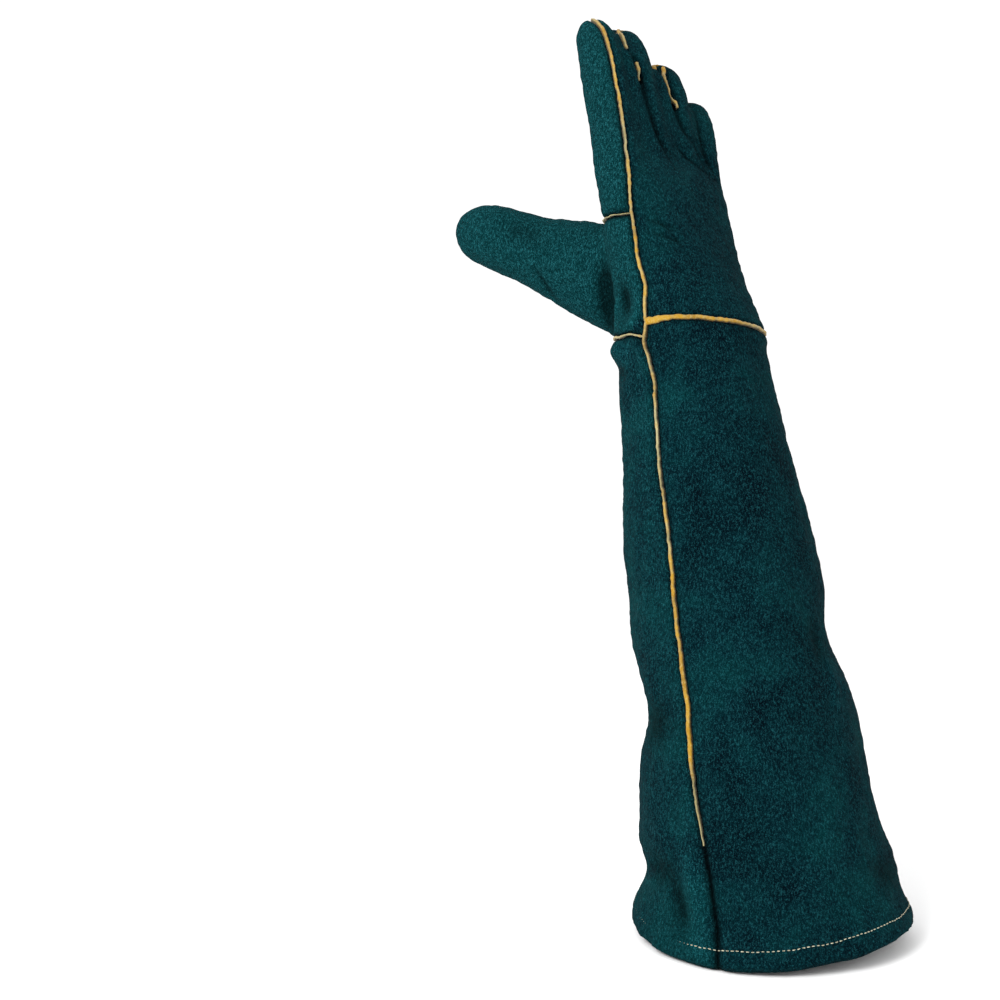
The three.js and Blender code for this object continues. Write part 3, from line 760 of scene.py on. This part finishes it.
seam_tree = point_tree(np.concatenate([line for lines in seam_lines.values() for line in lines]))
seam_away = np.array([seam_tree.find(point)[2] for point in co])
plain_tree = point_tree(np.concatenate(seam_lines["plain_seam"]))
plain_away = np.array([plain_tree.find(point)[2] for point in co])
normals = unit(relax(vertex_normals(co), 0.5, 4))
on_hand = np.clip((co[:, 2] - CUFF_LENGTH + HAND_EARLY) / HAND_FADE, 0, 1)
swell = ripples(co, WAVES) * (1 - HAND_CALM * on_hand) * np.clip(seam_away / SEAM_CALM, 0.35, 1)
pucker = ripples(co, PUCKERS) * np.exp(-(seam_away / PUCKER_REACH) ** 2)
bank = ROLL * np.exp(-((seam_away - ROLL_AWAY) / ROLL_HALF) ** 2)
marks = np.zeros(len(co))
for depth, half, *line in MARKS:
    line = evened(np.array(line, float), 1.0, 3)
    tree = point_tree(line)
    reach = MARK_REACH * half
    nearby = np.linalg.norm(co - line.mean(0), axis=1) < reach + np.ptp(line, axis=0).sum()
    for number in np.flatnonzero(nearby):
        _, at, away = tree.find(co[number])
        if away < reach:
            from_end = min(at, len(line) - 1 - at) / len(line)
            fade = min(1, MARK_END + MARK_DEEPENS * from_end)
            marks[number] -= depth * fade * np.exp(-(away / half) ** 2)
bare = co + (swell + pucker + bank + marks)[:, None] * normals
bare = relax(bare, 0.4, 2)
bare += ripples(co, NAP_BUMPS)[:, None] * normals
bare_normals = unit(relax(vertex_normals(bare), 0.5, 3))
groove = GROOVE_DEPTH * np.exp(-(seam_away / GROOVE_HALF) ** 2)
groove = groove * np.where(plain_away < PLAIN_NEAR, PLAIN_SEAM, 1)

# The arm opening's edge waves a little, less and less up to this height, and its points are
# evened round it. The points near its height keep clear of it and are evened by a share.
EDGE_WAVES_TO = 60
RIM_ROUNDS = 12
LOW_ROWS = (-3, 5)
LOW_CLEAR = 0.9
LOW_EVENED = 0.6
# the hem's lip, drawn out by its double leather, and the waist above it: how far out, middle
# above the edge and half width
HEM_FORM = [(2.2, 5, 7), (-1.3, 24, 9)]
# radius of the hem's outer edge
HEM_ROUND = 1.8
edge = hem_edge(np.arctan2(bare[:, 1], bare[:, 0]))
edge = edge + ripples(bare, EDGE_WAVES) * np.clip(1 - bare[:, 2] / EDGE_WAVES_TO, 0, 1)
bare[rim, 2] = edge[rim]
level = above_edge(bare[:, 2], edge)
rim_links = np.bincount(rim_edges.ravel(), minlength=len(bare))[rim, None]
for _ in range(RIM_ROUNDS):
    total = np.zeros_like(bare)
    np.add.at(total, rim_edges[:, 0], bare[rim_edges[:, 1]])
    np.add.at(total, rim_edges[:, 1], bare[rim_edges[:, 0]])
    bare[rim, :2] += 0.5 * (total[rim, :2] / rim_links - bare[rim, :2])
low = (level > LOW_ROWS[0]) & (level < LOW_ROWS[1])
low[rim] = False
bare[low, 2] += np.maximum(LOW_CLEAR - level[low], 0)
bare[low] = ((1 - LOW_EVENED) * bare + LOW_EVENED * relax(bare, 0.5, 3))[low]
lip = sum(out * np.exp(-((level - middle) / half) ** 2) for out, middle, half in HEM_FORM)
bare = bare + lip[:, None] * bare_normals * (1, 1, 0)
below = np.maximum(HEM_ROUND - level, 0)
round_in = np.clip(HEM_ROUND - np.sqrt(np.maximum(HEM_ROUND ** 2 - below ** 2, 0)), 0, HEM_ROUND)
skin_co = bare - (groove + round_in)[:, None] * bare_normals
skin_co[rim, 2] = bare[rim, 2]


# Panels of green split leather
# Six panels of dyed cowhide split, napped on both sides, 2 mm thick. The cuff halves end at
# the arm opening in a hem turned in by 13 mm and stitched down.
LEATHER = 2
HEM_TURN = 13.25
DEEP_GREEN = "000c14"
TEAL = "011b21"
LIGHT_TEAL = "02292c"
NAP_TIP = "205c62"
# painted light: how much lighter each panel is painted, as a share, most on the thumb and palm, which face
# the key light, least on the back
PANEL_PAINTED_LIGHT = {
    "cuff_back_panel": 0.0, "cuff_palm_panel": 0.25, "hand_back_panel": 0.05,
    "palm_panel": 0.75, "thumb_panel": 0.85, "middle_ring_front_panel": 0.4,
}
# size of the patches where the nap lies another way, and of the dye's blotches
PATCH_SIZE = 60
BLOTCH_SIZE = 14
# the nap's fibres are about 0.1 mm thick, too fine to show, so their tips are drawn as specks
# of about 1 mm with a finer grit
SPECK_SIZE = 1.1
GRIT_SIZE = 0.6
NAP_HEIGHT = 0.0009
# painted shade along each seam, in and beside its groove: by what share it darkens, and how far that reaches
SEAM_DARK = 0.88
SEAM_DARK_REACH = 2.5


def colour(code):
    """Linear colour of an sRGB hex value."""
    parts = [int(code[i:i + 2], 16) / 255 for i in (0, 2, 4)]
    return [part / 12.92 if part <= 0.04045 else ((part + 0.055) / 1.055) ** 2.4 for part in parts] + [1]


def fill(tree, node, **inputs):
    """Gives a node's inputs their values and links. i2 is the input numbered 2."""
    for name, value in inputs.items():
        numbered = name[0] == "i" and name[1:].isdigit()
        socket = node.inputs[int(name[1:]) if numbered else name.replace("_", " ")]
        if isinstance(value, bpy.types.NodeSocket):
            tree.links.new(value, socket)
        else:
            socket.default_value = value


def add(tree, kind, settings=None, stops=(), **inputs):
    """A new node with its settings, inputs and colour stops."""
    made = tree.nodes.new("ShaderNode" + kind)
    for name, value in (settings or {}).items():
        setattr(made, name, value)
    fill(tree, made, **inputs)
    if stops:
        elements = made.color_ramp.elements
        elements[0].position, elements[0].color = stops[0]
        elements[1].position, elements[1].color = stops[-1]
        for position, shade in stops[1:-1]:
            elements.new(position).color = shade
    return made


def new_material(name):
    """A new material, its node tree and its shader."""
    made = bpy.data.materials.new(name)
    made.use_nodes = True
    return made, made.node_tree, made.node_tree.nodes["Principled BSDF"]


def per_metre(millimetres):
    """Noise scale whose bumps have a real size."""
    return 1000 / millimetres


def napped_split(name, tint):
    """Dyed split cowhide with a short brushed nap. It looks dull and dark, with light fibre
    tips, painted shade in the pits between them and soft blotches, and has no shine. Panels
    that face the key light are painted lighter, seams and creases take painted shade, and
    bulges take painted light."""
    made, tree, shader = new_material(name)
    multiply = {"data_type": "RGBA", "blend_type": "MULTIPLY"}
    spot = add(tree, "TexCoord").outputs["Object"]
    patches = add(tree, "TexNoise", Vector=spot, Scale=per_metre(PATCH_SIZE), Detail=4.0,
                  Roughness=0.62, Distortion=0.6)
    blotches = add(tree, "TexNoise", Vector=spot, Scale=per_metre(BLOTCH_SIZE), Detail=4.0,
                   Roughness=0.65, Distortion=0.3)
    brushed = add(tree, "Mapping", Vector=spot, Rotation=(0.2, 0.35, 0.3), Scale=(1, 1, 0.5))
    specks = add(tree, "TexNoise", Vector=brushed.outputs[0], Scale=per_metre(SPECK_SIZE),
                 Detail=4.0, Roughness=0.78)
    grit = add(tree, "TexNoise", Vector=spot, Scale=per_metre(GRIT_SIZE), Detail=1.0, Roughness=0.7)
    broad = add(tree, "Math", {"operation": "MULTIPLY_ADD"},
                i0=blotches.outputs["Fac"], i1=0.45, i2=patches.outputs["Fac"])
    # painted light: the panels that face the key light are painted lighter, and so are their fibre tips
    shifted = add(tree, "Math", {"operation": "ADD"}, i0=broad.outputs[0], i1=tint * 0.35 - 0.22)
    base = add(tree, "ValToRGB", Fac=shifted.outputs[0], stops=[
        (0.33, colour(DEEP_GREEN)), (0.52, colour(TEAL)), (0.72, colour(LIGHT_TEAL))])
    fine = add(tree, "Math", {"operation": "MULTIPLY_ADD"},
               i0=grit.outputs["Fac"], i1=0.6, i2=specks.outputs["Fac"])
    tips = add(tree, "MapRange", {"clamp": True}, Value=fine.outputs[0],
               From_Min=0.8, From_Max=1.06, To_Min=0.0, To_Max=0.55 + 0.6 * tint)
    # painted shade: the grain is darkened where its bump is low, in the pits between the fibre tips
    pit_painted_shade = add(tree, "MapRange", {"clamp": True}, Value=fine.outputs[0],
               From_Min=0.54, From_Max=0.84, To_Min=0.3, To_Max=1.0)
    lit = add(tree, "Mix", {"data_type": "RGBA"},
              i0=tips.outputs[0], i6=base.outputs["Color"], i7=colour(NAP_TIP))
    pitted = add(tree, "Mix", multiply, i0=1.0, i6=lit.outputs[2], i7=pit_painted_shade.outputs[0])
    # painted shade along the seams and in the creases, and painted light on bulges, read from the leather's
    # points
    painted_shade_node = add(tree, "Attribute", {"attribute_name": "seam_shade"})
    shaded = add(tree, "Mix", multiply, i0=1.0, i6=pitted.outputs[2], i7=painted_shade_node.outputs["Fac"])
    height = add(tree, "Math", {"operation": "MULTIPLY_ADD"},
                 i0=blotches.outputs["Fac"], i1=1.5, i2=fine.outputs[0])
    bump = add(tree, "Bump", Height=height.outputs[0], Strength=0.9, Distance=NAP_HEIGHT)
    fill(tree, shader, Base_Color=shaded.outputs[2], Roughness=0.95, Specular_IOR_Level=0.02,
         Sheen_Weight=0.02, Sheen_Roughness=0.55, Sheen_Tint=colour(NAP_TIP), Normal=bump.outputs[0])
    return made


def new_piece(name, mesh_name, points, faces, material, **values):
    """A smooth-shaded piece, with numbers at its points that its material reads."""
    data = bpy.data.meshes.new(mesh_name)
    data.from_pydata((points * MM).tolist(), [], faces)
    data.polygons.foreach_set("use_smooth", np.ones(len(data.polygons), bool))
    for value_name, numbers in values.items():
        layer = data.attributes.new(value_name, "FLOAT", "POINT")
        layer.data.foreach_set("value", numbers.astype(np.float32))
    data.materials.append(material)
    made = bpy.data.objects.new(name, data)
    bpy.context.scene.collection.objects.link(made)
    return made


# painted shade in the creases too, and painted light on bulges and on the crests of the puckers
seam_shade = 1 - SEAM_DARK * np.exp(-(seam_away / SEAM_DARK_REACH) ** 2)
seam_shade = seam_shade * np.clip(1 + 0.3 * marks, 0.3, 1.25) * (1 + 0.1 * pucker)
for number, name in enumerate(PANELS):
    panel_faces = quads[label == number]
    used, flat = np.unique(panel_faces, return_inverse=True)
    # each panel gets its own copy of the leather, painted lighter where the key light falls on it
    leather = napped_split("napped_split_" + name, PANEL_PAINTED_LIGHT[name])
    piece = new_piece(name + "_leather", name, skin_co[used], flat.reshape(panel_faces.shape).tolist(),
                      leather, seam_shade=seam_shade[used])
    # the turned-in hem is two leathers thick
    thick = piece.vertex_groups.new(name="thickness")
    turned = level[used] < HEM_TURN
    thick.add(np.flatnonzero(~turned).tolist(), 0.5, "REPLACE")
    thick.add(np.flatnonzero(turned).tolist(), 1.0, "REPLACE")
    wall = piece.modifiers.new("wall", "SOLIDIFY")
    wall.thickness = 2 * LEATHER * MM
    wall.offset = -1
    wall.vertex_group = "thickness"
    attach(piece, "root")
    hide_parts(name)


# Welts
# Narrow strips of yellow split leather sewn into the seams. They stand a little proud, run
# thick and thin, and show pale where their edge is scraped.

# width along each welt: share of its length from its lower or little-finger end, millimetres
WIDTHS = {
    "cuff_welt": [(0, 0.8), (0.1, 1.3), (0.14, 2.4), (0.26, 2.7), (0.42, 2.0), (0.75, 1.8),
                  (0.95, 1.8), (1, 1.5)],
    "hand_outline_welt": [(0, 2.4), (0.45, 2.4), (0.6, 2.0), (0.84, 1.8), (0.9, 2.2), (0.97, 1.8), (1, 1.7)],
    "wrist_back_welt": [(0, 1.8), (0.5, 2.4), (0.82, 2.8), (0.92, 3.8), (1, 4.8)],
    "wrist_palm_welt": [(0, 2.2), (0.7, 2.2), (0.88, 1.3), (1, 1.5)],
    "thumb_welt": [(0, 2.2), (0.35, 3.6), (0.6, 3.2), (1, 2.0)],
    "crotch_welt": [(0, 2.2), (0.45, 1.6), (0.7, 0.7), (1, 0.6)],
    "finger_base_welt": [(0, 2.4), (1, 2.4)],
}
# how tall a welt stands: at no width, and more by this share of its width
WELT_TALL = 0.35
WELT_TALLER = 0.22
# a welt is thin, and pale, below this width, fully so when it is narrower by WELT_THINS
WELT_THICK = 2.7
WELT_THINS = 1.4
# unevenness of a welt, as bumps with size, depth and seed: shares of its half width and of its
# height, how far it sways, how thin it looks, and how rough it is
HALF_BUMPS = [(15, 0.13, 31), (2.2, 0.16, 32)]
TALL_BUMPS = [(12, 0.22, 33), (3, 0.22, 34)]
SWAY_BUMPS = [(9, 0.25, 35), (2.6, 0.2, 36)]
THIN_BUMPS = [(19, 0.3, 37)]
ROUGH_BUMPS = [(1.1, 0.14, 38)]
bare_tree = BVHTree.FromPolygons(bare.tolist(), quads.tolist())
bare_points = point_tree(bare)


def laid(line):
    """A line laid onto the leather, with the leather's direction at each point."""
    spots = []
    ways_out = []
    for point in line:
        spots.append(bare_tree.find_nearest(Vector(point))[0])
        near = [found[1] for found in bare_points.find_n(spots[-1], 12)]
        ways_out.append(bare_normals[near].mean(0))
    spots = np.array(spots)
    for _ in range(6):
        spots[1:-1] += 0.5 * ((spots[:-2] + spots[2:]) / 2 - spots[1:-1])
    return spots, unit(np.array(ways_out))


# profile of a welt: shares of its half width and of its height
PROFILE = np.array([
    (-0.8, -2.0), (-1.0, -0.6), (-0.98, 0.2), (-0.8, 0.75), (-0.45, 0.98), (0, 1.0),
    (0.45, 0.98), (0.8, 0.75), (0.98, 0.2), (1.0, -0.6), (0.8, -2.0),
])
# the dye runs lighter and darker over this length, and the split's fibres lie in bundles, drawn
# wider than they are so that they show
DYE_RUN = 22
FIBRE_SIZE = 1.6
FIBRE_HEIGHT = 0.0004


def dyed_welt():
    """Yellow dyed split leather, cut narrow. It looks dull and uneven, greyer where it is thin,
    and pale where its edge is scraped."""
    made, tree, shader = new_material("yellow_dyed_split")
    spot = add(tree, "TexCoord").outputs["Object"]
    runs = add(tree, "TexNoise", Vector=spot, Scale=per_metre(DYE_RUN), Detail=3.0, Roughness=0.6)
    fibres = add(tree, "TexNoise", Vector=spot, Scale=per_metre(FIBRE_SIZE), Detail=3.0, Roughness=0.7)
    thick = add(tree, "ValToRGB", Fac=runs.outputs["Fac"], stops=[
        (0.3, colour("6e4f08")), (0.5, colour("98710c")), (0.7, colour("9c7c22"))])
    thin = add(tree, "ValToRGB", Fac=runs.outputs["Fac"], stops=[
        (0.35, colour("6d6440")), (0.65, colour("958c66"))])
    how_thin = add(tree, "Attribute", {"attribute_name": "welt_thin"})
    base = add(tree, "Mix", {"data_type": "RGBA"},
               i0=how_thin.outputs["Fac"], i6=thick.outputs["Color"], i7=thin.outputs["Color"])
    scraped = add(tree, "MapRange", {"clamp": True}, Value=fibres.outputs["Fac"],
                  From_Min=0.5, From_Max=0.75, To_Min=0.0, To_Max=0.55)
    pale = add(tree, "Mix", {"data_type": "RGBA"},
               i0=scraped.outputs[0], i6=base.outputs[2], i7=colour("b0a272"))
    side = add(tree, "Attribute", {"attribute_name": "welt_shade"})
    shaded = add(tree, "Mix", {"data_type": "RGBA", "blend_type": "MULTIPLY"},
                 i0=1.0, i6=pale.outputs[2], i7=side.outputs["Fac"])
    bump = add(tree, "Bump", Height=fibres.outputs["Fac"], Strength=0.7, Distance=FIBRE_HEIGHT)
    fill(tree, shader, Base_Color=shaded.outputs[2], Roughness=0.85, Specular_IOR_Level=0.3,
         Sheen_Weight=0.15, Normal=bump.outputs[0])
    return made


# the sides of a welt lie in the groove's shade, by height on its profile
side_shade = np.clip(0.35 + 0.65 * (PROFILE[:, 1] + 0.6) / 1.5, 0.25, 1)
welt_material = dyed_welt()
for name in WELTS:
    points = []
    faces = []
    shades = []
    thins = []
    for line in seam_lines[name]:
        spots, ways_out = laid(line)
        ahead = unit(np.gradient(spots, axis=0))
        side = unit(np.cross(ahead, ways_out))
        out = np.cross(side, ahead)
        width = np.interp(np.linspace(0, 1, len(spots)), *np.transpose(WIDTHS[name]))
        half = width / 2 * (1 + ripples(spots, HALF_BUMPS))
        tall = (WELT_TALL + WELT_TALLER * width) * (1 + ripples(spots, TALL_BUMPS))
        sway = ripples(spots, SWAY_BUMPS)
        thin = np.clip((WELT_THICK - 2 * half) / WELT_THINS + ripples(spots, THIN_BUMPS), 0, 1)
        across = PROFILE[:, 0] * half[:, None] + sway[:, None]
        lift = np.where(PROFILE[:, 1] > 0, PROFILE[:, 1] * tall[:, None], PROFILE[:, 1])
        rows = spots[:, None] + across[..., None] * side[:, None] + lift[..., None] * out[:, None]
        rough = ripples(rows.reshape(-1, 3), ROUGH_BUMPS).reshape(lift.shape)
        rows += rough[..., None] * out[:, None]
        first = sum(len(part) for part in points)
        index = first + np.arange(lift.size).reshape(lift.shape)
        strip = np.stack([index[:-1, :-1], index[:-1, 1:], index[1:, 1:], index[1:, :-1]], -1)
        faces += strip.reshape(-1, 4).tolist()
        faces += [index[0].tolist()[::-1], index[-1].tolist()]
        points.append(rows.reshape(-1, 3))
        thins.append(np.repeat(thin, len(PROFILE)))
        shades.append(np.tile(side_shade, len(spots)))
    piece = new_piece(name + "_strip", name, np.concatenate(points), faces, welt_material,
                      welt_shade=np.concatenate(shades), welt_thin=np.concatenate(thins))
    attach(piece, "root")
    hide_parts(name)


# Hem stitches
# One row of white lockstitch holds the turned hem down, 10 mm above the arm opening's edge.
# Each stitch sinks a little into the leather between its two holes.
STITCH_PITCH = 3.0
STITCH_LENGTH = 2.1
STITCH_THICK = 0.6
STITCH_HEIGHT = 10
STITCH_ROWS = 7
STITCH_SIDES = 8
STITCH_ARCH = 0.25
# the nap covers the stitches on the palm side, from SUNK_FROM degrees before the thumb side to
# just past it, and here and there a little elsewhere
SUNK_FROM = 100
SUNK_PAST = 2
SUNK_FADE = 6
SUNK_DEPTH = 0.42
SUNK_BUMPS = [(14, 0.14, 41)]
LINE_POINTS = 2400

turn = np.linspace(0, 2 * np.pi, LINE_POINTS, endpoint=False)
edge = hem_edge(turn)
stitch_line = skin(turn, STITCH_HEIGHT + edge * (1 - STITCH_HEIGHT / CUFF_LENGTH))
skin_tree = BVHTree.FromPolygons(skin_co.tolist(), quads.tolist())
stitch_line = np.array([skin_tree.find_nearest(Vector(point))[0] for point in stitch_line])
run = np.concatenate([[0], np.cumsum(np.linalg.norm(np.diff(stitch_line, axis=0), axis=1))])


def on_stitch_line(at):
    """The point of the stitch line at a length along it."""
    return np.array([np.interp(at, run, stitch_line[:, axis]) for axis in range(3)])


ring = ellipse(STITCH_SIDES)[:, None]
stitches = []
count = int(run[-1] / STITCH_PITCH)
for number in range(count):
    at = (number + 0.5) * run[-1] / count
    middle = on_stitch_line(at)
    ahead = on_stitch_line(at + 1) - middle
    ahead /= np.linalg.norm(ahead)
    out = bare_normals[bare_points.find(middle)[1]]
    side = np.cross(out, ahead)
    angle = np.degrees(np.arctan2(middle[1], middle[0]))
    buried = np.clip((angle + SUNK_FROM) / SUNK_FADE, 0, 1) * np.clip((SUNK_PAST - angle) / SUNK_FADE, 0, 1)
    sunk = SUNK_DEPTH * buried + max(0, ripples(middle, SUNK_BUMPS))
    # a stitch outside, and its other half inside the two leathers
    for outward, lift in ((1, 0.02 - sunk), (-1, -2 * LEATHER - 0.05)):
        rows = []
        for end in np.linspace(-1, 1, STITCH_ROWS):
            fat = STITCH_THICK / 2 * (1 - 0.55 * abs(end) ** 3)
            arch = outward * STITCH_ARCH * (0.8 * (1 - end * end) - abs(end) ** 3)
            centre = middle + ahead * end * STITCH_LENGTH / 2 + out * (lift + arch)
            rows.append(centre + fat * (np.cos(ring) * side + 0.8 * np.sin(ring) * out))
        stitches.append(closed_loft(np.array(rows)))

# Twisted sewing thread, off-white and soiled by wear. It looks dull, with darker and lighter
# turns, which are drawn longer than the real ones of about 0.5 mm so that they show.
TWIST_SIZE = 1.2
thread, tree, shader = new_material("white_twisted_thread")
twist = add(tree, "TexNoise", Vector=add(tree, "TexCoord").outputs["Object"],
            Scale=per_metre(TWIST_SIZE), Detail=2.0)
shade = add(tree, "ValToRGB", Fac=twist.outputs["Fac"], stops=[
    (0.35, colour("7d7a63")), (0.65, colour("b9b59d"))])
fill(tree, shader, Base_Color=shade.outputs["Color"], Roughness=0.8)
points, faces = together(stitches)
piece = new_piece("hem_stitches", "hem_stitches", points, faces, thread)
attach(piece, "root")


# Studio
# A plain floor of matte white paper, with soft light from all round, a large softbox on the
# thumb side and a weaker one behind the back of the hand. Sizes are in metres.
FLOOR_HALF = 40
FLOOR_DROP = 0.0015
PAPER_CLOUD = 1000 / 3
ROOM_LIGHT = 1.08
corners = [(-FLOOR_HALF, -FLOOR_HALF, 0), (FLOOR_HALF, -FLOOR_HALF, 0),
           (FLOOR_HALF, FLOOR_HALF, 0), (-FLOOR_HALF, FLOOR_HALF, 0)]
floor_data = bpy.data.meshes.new("floor")
floor_data.from_pydata(corners, [], [(0, 1, 2, 3)])
floor = bpy.data.objects.new("floor", floor_data)
floor.location = (0, 0, -FLOOR_DROP)
bpy.context.scene.collection.objects.link(floor)
# matte paper: it looks even, with clouds a third of a metre wide that hardly show
paper, tree, shader = new_material("matte_white_paper")
tone = add(tree, "TexNoise", Vector=add(tree, "TexCoord").outputs["Object"],
           Scale=per_metre(PAPER_CLOUD), Detail=2.0)
shade = add(tree, "ValToRGB", Fac=tone.outputs["Fac"], stops=[
    (0.3, colour("fafafa")), (0.7, colour("fcfcfc"))])
fill(tree, shader, Base_Color=shade.outputs["Color"], Roughness=0.9)
floor_data.materials.append(paper)

bpy.context.scene.view_settings.view_transform = "Standard"
world = bpy.data.worlds.new("studio")
world.use_nodes = True
background = world.node_tree.nodes["Background"]
fill(world.node_tree, background, Color=(1, 1, 1, 1), Strength=ROOM_LIGHT)
bpy.context.scene.world = world


def softbox(name, azimuth, height, distance, size, power):
    """A square area light that faces the middle of the glove."""
    data = bpy.data.lights.new(name, "AREA")
    data.size = size
    data.energy = power
    made = bpy.data.objects.new(name, data)
    turn = np.radians(azimuth)
    made.location = (distance * np.sin(turn), -distance * np.cos(turn), height)
    aim = Vector((0, -0.06, 0.3)) - made.location
    made.rotation_euler = aim.to_track_quat("-Z", "Y").to_euler()
    bpy.context.scene.collection.objects.link(made)


softbox("key", 88, 1.15, 1.5, 0.8, 30)
softbox("fill", 185, 0.9, 1.6, 1.2, 5)
